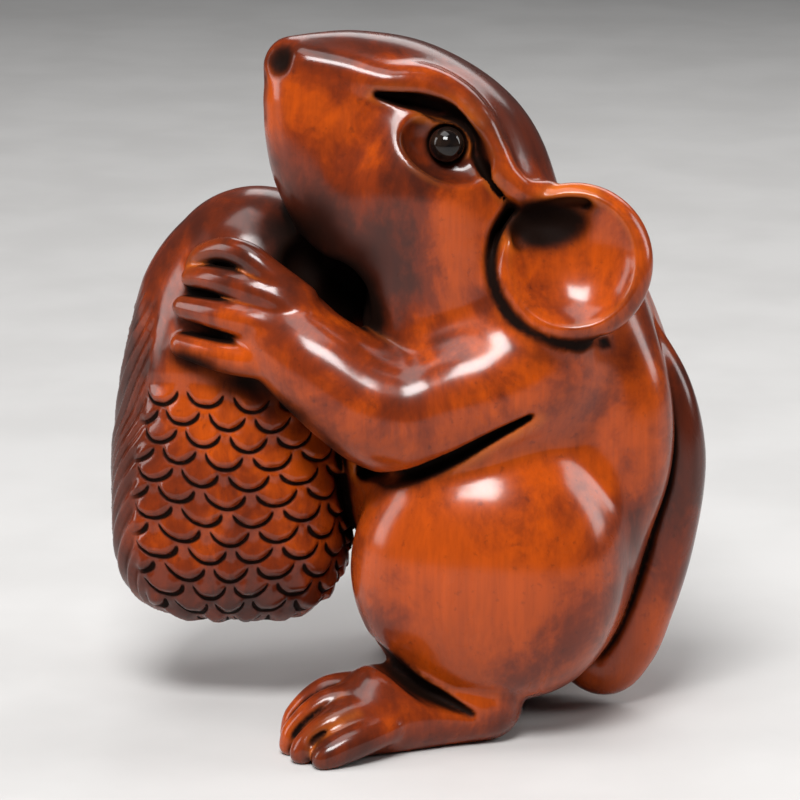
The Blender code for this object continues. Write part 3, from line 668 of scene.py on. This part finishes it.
# Soft patches of stain and painted shade on the figure: how much darker or lighter, the middle and
# the reach, in shares. Darker are crown, nape, jaw, throat, tail, the fish's ends and front, soles,
# shoulder and ankle, and lighter are rump, muzzle, thigh and flank. The darker jaw and throat are
# painted shade under the chin.
STAIN_AND_SHADE_PATCHES = (
    (1.0, (-1.0, -1.0, 49.0), (7.0, 9.0, 3.6)),
    (1.0, (0.0, 8.0, 43.5), (8.0, 5.5, 5.5)),
    (0.8, (5.5, -4.5, 37.5), (5.0, 4.0, 3.6)),
    (0.8, (6.5, -0.5, 34.5), (5.0, 3.5, 3.0)),
    (1.0, (0.0, 22.0, 21.0), (4.0, 3.0, 9.0)),
    (0.8, (0.0, -14.0, 36.0), (9.0, 9.0, 5.0)),
    (0.7, (0.0, -21.0, 20.0), (8.0, 3.0, 14.0)),
    (0.6, (9.0, -10.0, 8.5), (8.0, 8.0, 3.0)),
    (0.5, (0.0, 5.0, 1.0), (20.0, 9.0, 2.2)),
    (0.6, (10.0, 1.0, 27.0), (5.0, 4.0, 3.0)),
    (0.5, (11.5, -1.0, 4.8), (3.0, 3.0, 2.0)),
    (-0.7, (0.0, 17.5, 6.5), (4.5, 4.0, 5.0)),
    (-0.5, (5.0, -6.5, 45.0), (5.0, 3.5, 3.0)),
    (-0.5, (14.0, 5.0, 10.5), (5.0, 6.0, 5.0)),
    (-0.4, (8.0, 13.0, 22.0), (5.0, 6.0, 7.0)),
)

# Patches of painted shadow, nearly black: under the chin and jaw, on the fish's crown below it, at the
# tip of the throat's hollow, under the ear, between fish and thigh, and under the hand and forearm
PAINTED_SHADOWS = (
    (0.55, (4.8, -5.6, 40.0), (4.0, 2.2, 2.6)),
    (0.6, (5.4, -3.6, 38.0), (4.0, 2.4, 2.6)),
    (0.6, (6.4, -1.0, 35.4), (3.5, 2.6, 2.4)),
    (0.5, (5.4, -5.2, 37.0), (4.0, 2.0, 2.2)),
    (0.5, (6.4, -2.8, 34.6), (3.0, 2.2, 2.2)),
    (0.8, (4.5, -8.0, 36.2), (3.5, 2.6, 2.6)),
    (0.8, (7.8, -0.6, 30.0), (1.8, 1.3, 1.6)),
    (0.6, (9.5, 11.0, 29.0), (3.0, 2.4, 1.6)),
    (0.5, (9.0, -4.6, 19.5), (4.0, 2.0, 3.0)),
    (0.9, (8.5, -14.2, 27.4), (5.0, 2.6, 1.1)),
    (0.9, (9.0, -10.4, 25.8), (5.0, 2.8, 1.3)),
    (0.9, (9.5, -6.6, 24.4), (5.0, 2.6, 1.5)),
    (0.7, (9.5, -3.4, 22.2), (5.0, 1.6, 2.0)),
)

BLACKEST = 0.9


def patches(places, rows):
    """How dark the soft patches in the rows make each place."""
    dark = np.zeros(len(places))
    for amount, centre, radii in rows:
        dark += amount * np.exp(-(((places - centre) / radii) ** 2).sum(1))
    return dark


def add_number(mesh, name, values):
    layer = mesh.attributes.new(name, "FLOAT", "POINT")
    layer.data.foreach_set("value", np.asarray(values, np.float32))


def carve_skin():
    """The carving's fine skin, laid in the solid's box, with numbers that the wood reads.

    Returned with it are the lowest corner in shares, the metres to a share and the box's lowest corner.
    """
    clay, fish = carved()
    clay.smooth_over()
    points, faces = clay.skin()
    fine = bpy.data.meshes.new("fine_skin")
    fine.from_pydata(points, [], faces)
    mesh = fewer_faces(fine, SKIN_FACES)
    mesh.name = "carving_skin"
    places = points_of(mesh)

    normal = clay.slope_at(places, clay.grain * 1.2)
    normal /= np.maximum(np.linalg.norm(normal, axis=1), 1e-6)[:, None]
    # How enclosed and how outstanding each place is: the wood darkens enclosed places, as the patina of
    # its hollows and as painted shade, and rubs outstanding ones bright.
    hollow = np.zeros(len(places))
    wear = np.zeros(len(places))
    for reach, weight in ((0.4, 0.3), (0.8, 0.35), (1.4, 0.35)):
        outside = clay.depth_at(places + normal * reach)
        inside = clay.depth_at(places - normal * reach)
        hollow += weight * np.clip((reach - outside) / reach, 0, 2)
        wear += weight * np.clip((reach + inside) / reach, 0, 2)
    add_number(mesh, "hollow", hollow)
    add_number(mesh, "wear", wear)
    add_number(mesh, "stain_and_painted_shade", np.clip(patches(places, STAIN_AND_SHADE_PATCHES), -1, 1))
    across, down, scaled, gouged = fish_skin(*places.T)
    on_fish = soft_step(-np.abs(fish.depth_at(places)), -0.5, -0.2)
    # Painted shadows, nearly black, join the staining and painted shade left by the cuts; the fin's
    # gouges are darkened too.
    black = np.clip(patches(places, PAINTED_SHADOWS), 0, BLACKEST)
    dye_and_painted_shade = np.maximum(clay.between(clay.dye_and_painted_shade, places), black)
    add_number(mesh, "dye_and_painted_shade", np.maximum(dye_and_painted_shade, 0.5 * gouged**2 * on_fish))
    add_number(mesh, "across", across)
    add_number(mesh, "down", down)
    add_number(mesh, "scaled", scaled * on_fish)

    low, high = (np.array(corner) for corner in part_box("carving"))
    own_low = places.min(0)
    own_high = places.max(0)
    laid = low + (places - own_low) / (own_high - own_low) * (high - low)
    mesh.vertices.foreach_set("co", laid.ravel())
    mesh.update()
    mesh.shade_smooth()
    mesh.normals_split_custom_set_from_vertices(normal)
    made = bpy.data.objects.new("carving_skin", mesh)
    bpy.context.scene.collection.objects.link(made)
    return made, own_low, (high - low) / (own_high - own_low), low


class Nodes:
    """A material's nodes, made and linked in one call each."""

    def __init__(self, name):
        self.material = bpy.data.materials.new(name)
        self.material.use_nodes = True
        self.tree = self.material.node_tree
        self.surface = self.tree.nodes["Principled BSDF"]

    def add(self, kind, inputs=None, **settings):
        node = self.tree.nodes.new(kind)
        for name, value in settings.items():
            setattr(node, name, value)
        for name, value in (inputs or {}).items():
            self.join(value, node.inputs[name])
        return node

    def join(self, value, socket):
        if isinstance(value, bpy.types.NodeSocket):
            self.tree.links.new(value, socket)
        else:
            socket.default_value = value

    def math(self, operation, first, second=0.0, clamp=False):
        node = self.add("ShaderNodeMath", {0: first, 1: second}, operation=operation, use_clamp=clamp)
        return node.outputs[0]

    def span(self, value, low, high, to_low=0.0, to_high=1.0):
        """A value's range carried to another one, held within it."""
        node = self.add("ShaderNodeMapRange", {
            "Value": value, "From Min": low, "From Max": high, "To Min": to_low, "To Max": to_high},
            interpolation_type="SMOOTHSTEP")
        return node.outputs[0]

    def mix(self, share, first, second, blend="MIX"):
        node = self.add("ShaderNodeMix", data_type="RGBA", blend_type=blend)
        self.join(share, node.inputs[0])
        self.join(first, node.inputs[6])
        self.join(second, node.inputs[7])
        return node.outputs[2]

    def number(self, name):
        return self.add("ShaderNodeAttribute", attribute_name=name).outputs["Fac"]

    def noise(self, place, scale, detail=3.0, roughness=0.5, distortion=0.0):
        return self.add("ShaderNodeTexNoise", {
            "Vector": place, "Scale": scale, "Detail": detail, "Roughness": roughness,
            "Distortion": distortion}).outputs["Fac"]

    def stretched(self, place, scale, turn=(0.0, 0.0, 0.0)):
        node = self.add("ShaderNodeMapping", {"Vector": place, "Rotation": turn, "Scale": scale})
        return node.outputs[0]


# The wood's colours, from rubbed edges to hollows dark with staining and painted shade, and how far its
# grain leans from upright
ORANGE = (0.44, 0.062, 0.003, 1)
AMBER = (0.62, 0.135, 0.010, 1)
RUSSET = (0.185, 0.024, 0.004, 1)
MAROON = (0.050, 0.010, 0.005, 1)
NEAR_BLACK_STAIN_AND_SHADE = (0.006, 0.002, 0.001, 1)
GRAIN_TILT = (0.06, 0.1, 0.0)


def painted_scale_shadows(nodes, across, down):
    """The painted shadow under the edges of the scales, from places around and down the fish."""
    row = nodes.math("DIVIDE", nodes.math("SUBTRACT", down, SCALE_RADIUS), SCALE_DOWN)
    row = nodes.math("CEIL", row)
    dark = 0.0
    for above in (1.0, 0.0):
        own = nodes.math("SUBTRACT", row, above)
        shift = nodes.math("MULTIPLY", nodes.math("FLOORED_MODULO", own, 2.0), SCALE_ACROSS / 2)
        offset = nodes.math("ADD", nodes.math("SUBTRACT", across, shift), SCALE_ACROSS / 2)
        offset = nodes.math("FLOORED_MODULO", offset, SCALE_ACROSS)
        offset = nodes.math("ABSOLUTE", nodes.math("SUBTRACT", offset, SCALE_ACROSS / 2))
        below = nodes.math("SUBTRACT", down, nodes.math("MULTIPLY", own, SCALE_DOWN))
        below = nodes.math("MAXIMUM", below, 0.0)
        away = nodes.math("ADD", nodes.math("POWER", offset, 2.0), nodes.math("POWER", below, 2.0))
        edge = nodes.math("SUBTRACT", nodes.math("SQRT", away), SCALE_RADIUS)
        taper = nodes.math("SUBTRACT", below, 0.2 * SCALE_RADIUS)
        taper = nodes.math("DIVIDE", taper, 0.6 * SCALE_RADIUS, clamp=True)
        taper = nodes.math("POWER", taper, 0.7)
        width = nodes.math("ADD", nodes.math("MULTIPLY", taper, SCALE_SHADOW), 0.01)
        share = nodes.math("DIVIDE", edge, width)
        line = nodes.math("MULTIPLY", nodes.span(share, -0.30, 0.12), nodes.span(share, 1.15, 0.65))
        line = nodes.math("MULTIPLY", line, nodes.span(taper, 0.25, 0.6))
        line = nodes.math("MULTIPLY", line, nodes.span(own, 0.4, 0.6))
        dark = nodes.math("MAXIMUM", dark, line)
    return dark


def wood():
    """Boxwood stained orange to maroon, its hollows darkened by staining and painted shade, rubbed
    bright, varnished.
    """
    nodes = Nodes("stained_boxwood_fine")
    place = nodes.add("ShaderNodeTexCoord").outputs["Object"]
    cloud = nodes.noise(nodes.stretched(place, (90, 90, 70)), 1.0, 5.0, 0.62, 0.7)
    patch = nodes.noise(nodes.stretched(place, (260, 260, 200)), 1.0, 5.0, 0.65, 0.4)
    fleck = nodes.noise(place, 1500, 3.0, 0.6)
    grain = nodes.noise(nodes.stretched(place, (2600, 2600, 160), GRAIN_TILT), 1.0, 4.0, 0.6, 0.15)
    rings = nodes.noise(nodes.stretched(place, (420, 420, 26), GRAIN_TILT), 1.0, 2.0, 0.5, 0.2)
    hollow = nodes.number("hollow")
    wear = nodes.number("wear")
    stain_and_painted_shade = nodes.number("stain_and_painted_shade")
    # Painted shadow under the scales' edges, on the scaled skin only.
    edges = painted_scale_shadows(nodes, nodes.number("across"), nodes.number("down"))
    edges = nodes.math("MULTIPLY", edges, nodes.number("scaled"))

    mottle = nodes.math("ADD", nodes.math("MULTIPLY", cloud, 0.62), nodes.math("MULTIPLY", patch, 0.38))
    mottle = nodes.math("ADD", mottle, nodes.math("MULTIPLY", stain_and_painted_shade, 0.24))
    colour = nodes.mix(nodes.span(mottle, 0.42, 0.56), ORANGE, RUSSET)
    colour = nodes.mix(nodes.span(mottle, 0.51, 0.67), colour, MAROON)
    streak = nodes.span(rings, 0.35, 0.7, 0.0, 0.25)
    colour = nodes.mix(streak, colour, RUSSET)
    fine_grain = nodes.span(grain, 0.3, 0.75, 0.0, 0.22)
    colour = nodes.mix(fine_grain, colour, MAROON)
    colour = nodes.mix(nodes.span(fleck, 0.60, 0.74, 0.0, 0.35), colour, MAROON)
    rubbed = nodes.math("MULTIPLY", nodes.span(wear, 0.25, 0.9), nodes.span(patch, 0.3, 0.6, 0.3, 0.8))
    colour = nodes.mix(rubbed, colour, AMBER)
    # Darker in recesses by how enclosed they are: the patina of the wood's hollows, and painted shade.
    settled = nodes.span(nodes.math("ADD", hollow, nodes.math("MULTIPLY", patch, 0.12)), 0.22, 0.80)
    unevenness = nodes.math("MULTIPLY", nodes.math("SUBTRACT", patch, 0.5), 0.25)
    dye_and_painted_shade = nodes.math("ADD", nodes.number("dye_and_painted_shade"), unevenness)
    dye_and_painted_shade = nodes.math("MAXIMUM", nodes.span(dye_and_painted_shade, 0.05, 0.95), edges)
    dark = nodes.math("MAXIMUM", settled, dye_and_painted_shade)
    colour = nodes.mix(dark, colour, NEAR_BLACK_STAIN_AND_SHADE)
    nodes.join(colour, nodes.surface.inputs["Base Color"])

    rough = nodes.math("ADD", nodes.span(patch, 0.3, 0.7, 0.24, 0.36), nodes.math("MULTIPLY", dark, 0.4))
    nodes.join(rough, nodes.surface.inputs["Roughness"])
    nodes.surface.inputs["Specular IOR Level"].default_value = 0.05
    nodes.join(nodes.span(dark, 0.0, 0.7, 0.62, 0.0), nodes.surface.inputs["Coat Weight"])
    nodes.surface.inputs["Coat Roughness"].default_value = 0.17
    nodes.surface.inputs["Coat IOR"].default_value = 1.5

    waves = nodes.add("ShaderNodeBump", {
        "Height": nodes.noise(place, 240, 2.0), "Strength": 0.25, "Distance": 0.00025})
    lines = nodes.add("ShaderNodeBump", {
        "Height": grain, "Strength": 0.25, "Distance": 0.00003, "Normal": waves.outputs[0]})
    specks = nodes.add("ShaderNodeBump", {
        "Height": nodes.noise(place, 2600, 2.0), "Strength": 0.2, "Distance": 0.00002,
        "Normal": lines.outputs[0]})
    sunk = nodes.add("ShaderNodeBump", {
        "Height": edges, "Strength": 0.6, "Distance": 0.0002, "Normal": specks.outputs[0]}, invert=True)
    nodes.join(sunk.outputs[0], nodes.surface.inputs["Normal"])
    return nodes.material


def horn():
    """Polished black horn, with a faint brown depth."""
    nodes = Nodes("black_horn_fine")
    place = nodes.add("ShaderNodeTexCoord").outputs["Object"]
    cloud = nodes.noise(place, 900, 3.0)
    colour = nodes.mix(nodes.span(cloud, 0.4, 0.7), (0.004, 0.003, 0.003, 1), (0.016, 0.009, 0.006, 1))
    nodes.join(colour, nodes.surface.inputs["Base Color"])
    nodes.join(nodes.span(cloud, 0.3, 0.7, 0.05, 0.10), nodes.surface.inputs["Roughness"])
    nodes.surface.inputs["Specular IOR Level"].default_value = 0.25
    nodes.surface.inputs["Coat Weight"].default_value = 0.15
    nodes.surface.inputs["Coat Roughness"].default_value = 0.03
    return nodes.material


def set_eye(name, finish):
    """A smooth round bead in the place of the solid eye."""
    low, high = (Vector(corner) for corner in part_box(name))
    radius = min(high - low) / 2
    bpy.ops.mesh.primitive_uv_sphere_add(
        segments=64, ring_count=32, radius=radius, location=(low + high) / 2)
    bead = bpy.context.active_object
    bead.name = f"{name}_bead"
    bead.data.shade_smooth()
    bead.data.materials.append(finish)
    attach(bead, "root")
    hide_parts(name)


def set_floor():
    """A plain pale floor that the carving stands on."""
    bpy.ops.mesh.primitive_plane_add(size=FLOOR_SIZE, location=(0, 0, 0))
    floor = bpy.context.active_object
    floor.name = "floor"
    nodes = Nodes("pale_floor")
    place = nodes.add("ShaderNodeTexCoord").outputs["Object"]
    cloud = nodes.noise(place, 60, 4.0)
    colour = nodes.mix(nodes.span(cloud, 0.3, 0.7), (0.50, 0.49, 0.48, 1), (0.54, 0.53, 0.52, 1))
    nodes.join(colour, nodes.surface.inputs["Base Color"])
    nodes.surface.inputs["Roughness"].default_value = 0.6
    floor.data.materials.append(nodes.material)


def facing(place, target):
    """A placement at one point that looks at another."""
    turn = (Vector(target) - Vector(place)).to_track_quat("-Z", "Y")
    return Matrix.Translation(place) @ turn.to_matrix().to_4x4()


def set_light(name, place, size, power):
    light = bpy.data.lights.new(name, "AREA")
    light.shape = "RECTANGLE"
    light.size, light.size_y = size
    light.energy = power
    made = bpy.data.objects.new(name, light)
    bpy.context.scene.collection.objects.link(made)
    made.matrix_world = facing(place, LIT_PLACE)


def set_camera(share, low, own_low):
    """The camera where the photograph was taken from."""
    azimuth, elevation = np.radians((VIEW_AZIMUTH, VIEW_ELEVATION))
    level = np.cos(elevation)
    back = Vector((np.sin(azimuth) * level, -np.cos(azimuth) * level, np.sin(elevation)))
    right = Vector((np.cos(azimuth), np.sin(azimuth), 0))
    up = back.cross(right)
    target = Vector(low + (np.array([0, 0, VIEW_HEIGHT]) - own_low) * share)
    place = target + back * VIEW_DISTANCE * float(share[2])
    camera = bpy.data.objects.new("camera", bpy.data.cameras.new("camera"))
    bpy.context.scene.collection.objects.link(camera)
    camera.matrix_world = Matrix((
        (right.x, up.x, back.x, place.x), (right.y, up.y, back.y, place.y),
        (right.z, up.z, back.z, place.z), (0, 0, 0, 1)))
    camera.data.sensor_width = 36
    camera.data.lens = camera.data.sensor_width * VIEW_DISTANCE / VIEW_WIDTH
    camera.data.clip_start = 0.001
    camera.data.clip_end = 10
    bpy.context.scene.camera = camera


def set_world(strength):
    world = bpy.data.worlds.new("studio")
    bpy.context.scene.world = world
    world.use_nodes = True
    background = world.node_tree.nodes["Background"]
    background.inputs["Color"].default_value = (0.90, 0.94, 1.0, 1)
    background.inputs["Strength"].default_value = strength


skin, own_low, share, low = carve_skin()
skin.data.materials.append(wood())
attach(skin, "root")
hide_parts("carving")
black = horn()
for name in ("eye_left", "eye_right"):
    set_eye(name, black)

set_floor()
set_camera(share, low, own_low)
set_world(WORLD_LIGHT)
for name, place, size, power in LIGHTS:
    set_light(name, place, size, power)
bpy.context.scene.view_settings.view_transform = "Standard"
